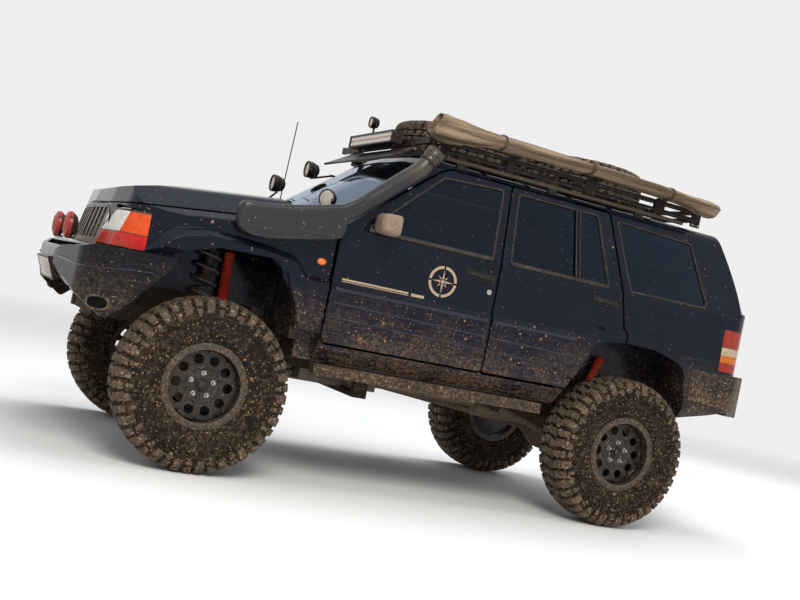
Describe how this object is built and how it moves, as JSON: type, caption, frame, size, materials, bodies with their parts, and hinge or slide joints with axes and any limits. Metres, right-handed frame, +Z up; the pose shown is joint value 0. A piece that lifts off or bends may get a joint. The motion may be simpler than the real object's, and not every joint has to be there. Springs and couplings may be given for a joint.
{
  "type": "lifted off-road 4x4",
  "caption": "Lifted four-door off-road 4x4 with mud tyres, side snorkel, loaded roof rack, awning bag and lamps; doors, hood, liftgate, steering and wheels move.",
  "frame": {"origin": "on the ground under the middle of the overall length and width", "axes": "+X to the rear, +Y to the vehicle's right side, +Z up"},
  "size_m": [4.523, 2.0106, 2.3045],
  "materials": {
    "paint": "gloss",
    "bumper": "satin",
    "underbody": "rough",
    "grille": "satin",
    "lamp_lens": "gloss",
    "tail_lens": "gloss",
    "window_glass": "gloss",
    "rail_steel": "satin",
    "snorkel_plastic": "satin",
    "rack_steel": "satin",
    "canvas": "matte",
    "lamp_black": "satin",
    "tyre_rubber": "matte",
    "wheel_black": "satin",
    "antenna_black": "satin",
    "lamp_red": "gloss",
    "spring_steel": "satin",
    "shock_red": "matte",
    "cast_iron": "rough",
    "cast_alloy": "satin",
    "exhaust_steel": "satin",
    "seat_cloth": "matte",
    "cabin_plastic": "satin",
    "mirror_housing": "satin"
  },
  "bodies": {
    "vehicle": {"body_shell": "paint", "floor_pan": "underbody", "fenders": "paint", "front_bumper": "bumper", "rear_bumper": "bumper", "grille": "grille", "front_lamps": "lamp_lens", "tail_lamps": "tail_lens", "fixed_glass": "window_glass", "rock_rails": "rail_steel", "snorkel": "snorkel_plastic", "roof_rack": "rack_steel", "wind_deflector": "rack_steel", "awning_bag": "canvas", "light_bar": "lamp_black", "spare_tyres": "tyre_rubber", "spare_rims": "wheel_black", "auxiliary_lamps": "lamp_black", "antenna": "antenna_black", "driving_lamps": "lamp_red", "front_axle": "underbody", "rear_axle": "underbody", "frame_rails": "underbody", "coil_springs": "spring_steel", "shock_absorbers": "shock_red", "suspension_links": "underbody", "engine": "cast_iron", "gearbox": "cast_alloy", "prop_shafts": "underbody", "fuel_tank": "underbody", "exhaust": "exhaust_steel", "seats": "seat_cloth", "dashboard": "cabin_plastic", "steering_wheel": "cabin_plastic"},
    "front_door_left": {"front_door_left": "paint", "front_door_glass_left": "window_glass", "mirror_left": "mirror_housing"},
    "rear_door_left": {"rear_door_left": "paint", "rear_door_glass_left": "window_glass"},
    "knuckle_left": {"knuckle_left": "underbody"},
    "wheel_front_left": {"tyre_front_left": "tyre_rubber", "rim_front_left": "wheel_black"},
    "wheel_rear_left": {"tyre_rear_left": "tyre_rubber", "rim_rear_left": "wheel_black"},
    "front_door_right": {"front_door_right": "paint", "front_door_glass_right": "window_glass", "mirror_right": "mirror_housing"},
    "rear_door_right": {"rear_door_right": "paint", "rear_door_glass_right": "window_glass"},
    "knuckle_right": {"knuckle_right": "underbody"},
    "wheel_front_right": {"tyre_front_right": "tyre_rubber", "rim_front_right": "wheel_black"},
    "wheel_rear_right": {"tyre_rear_right": "tyre_rubber", "rim_rear_right": "wheel_black"},
    "hood": {"hood": "paint"},
    "liftgate": {"liftgate": "paint", "liftgate_glass": "window_glass"}
  },
  "joints": [
    {"name": "steer_left", "type": "hinge", "parent": "vehicle", "child": "knuckle_left", "pos_m": [-1.4395, -0.69, 0.465], "axis": [0, 0, 1], "range_deg": [-28, 28]},
    {"name": "steer_right", "type": "hinge", "parent": "vehicle", "child": "knuckle_right", "pos_m": [-1.4395, 0.69, 0.465], "axis": [0, 0, 1], "range_deg": [-28, 28]},
    {"name": "wheel_front_left_spin", "type": "hinge", "parent": "knuckle_left", "child": "wheel_front_left", "pos_m": [-1.4395, -0.805, 0.465], "axis": [0, 1, 0], "continuous": true},
    {"name": "wheel_rear_left_spin", "type": "hinge", "parent": "vehicle", "child": "wheel_rear_left", "pos_m": [1.2515, -0.805, 0.465], "axis": [0, 1, 0], "continuous": true},
    {"name": "wheel_front_right_spin", "type": "hinge", "parent": "knuckle_right", "child": "wheel_front_right", "pos_m": [-1.4395, 0.805, 0.465], "axis": [0, 1, 0], "continuous": true},
    {"name": "wheel_rear_right_spin", "type": "hinge", "parent": "vehicle", "child": "wheel_rear_right", "pos_m": [1.2515, 0.805, 0.465], "axis": [0, 1, 0], "continuous": true},
    {"name": "front_door_left_hinge", "type": "hinge", "parent": "vehicle", "child": "front_door_left", "pos_m": [-0.8335, -0.884, 0.99], "axis": [0, 0, -1], "range_deg": [0, 65]},
    {"name": "rear_door_left_hinge", "type": "hinge", "parent": "vehicle", "child": "rear_door_left", "pos_m": [0.1925, -0.884, 0.99], "axis": [0, 0, -1], "range_deg": [0, 65]},
    {"name": "front_door_right_hinge", "type": "hinge", "parent": "vehicle", "child": "front_door_right", "pos_m": [-0.8335, 0.884, 0.99], "axis": [0, 0, 1], "range_deg": [0, 65]},
    {"name": "rear_door_right_hinge", "type": "hinge", "parent": "vehicle", "child": "rear_door_right", "pos_m": [0.1925, 0.884, 0.99], "axis": [0, 0, 1], "range_deg": [0, 65]},
    {"name": "hood_hinge", "type": "hinge", "parent": "vehicle", "child": "hood", "pos_m": [-0.9815, 0, 1.48], "axis": [0, 1, 0], "range_deg": [0, 48]},
    {"name": "liftgate_hinge", "type": "hinge", "parent": "vehicle", "child": "liftgate", "pos_m": [1.8605, 0, 1.965], "axis": [0, -1, 0], "range_deg": [0, 80]}
  ],
  "couplings": [
    {"joint": "steer_right", "follows": "steer_left", "ratio": 1}
  ]
}
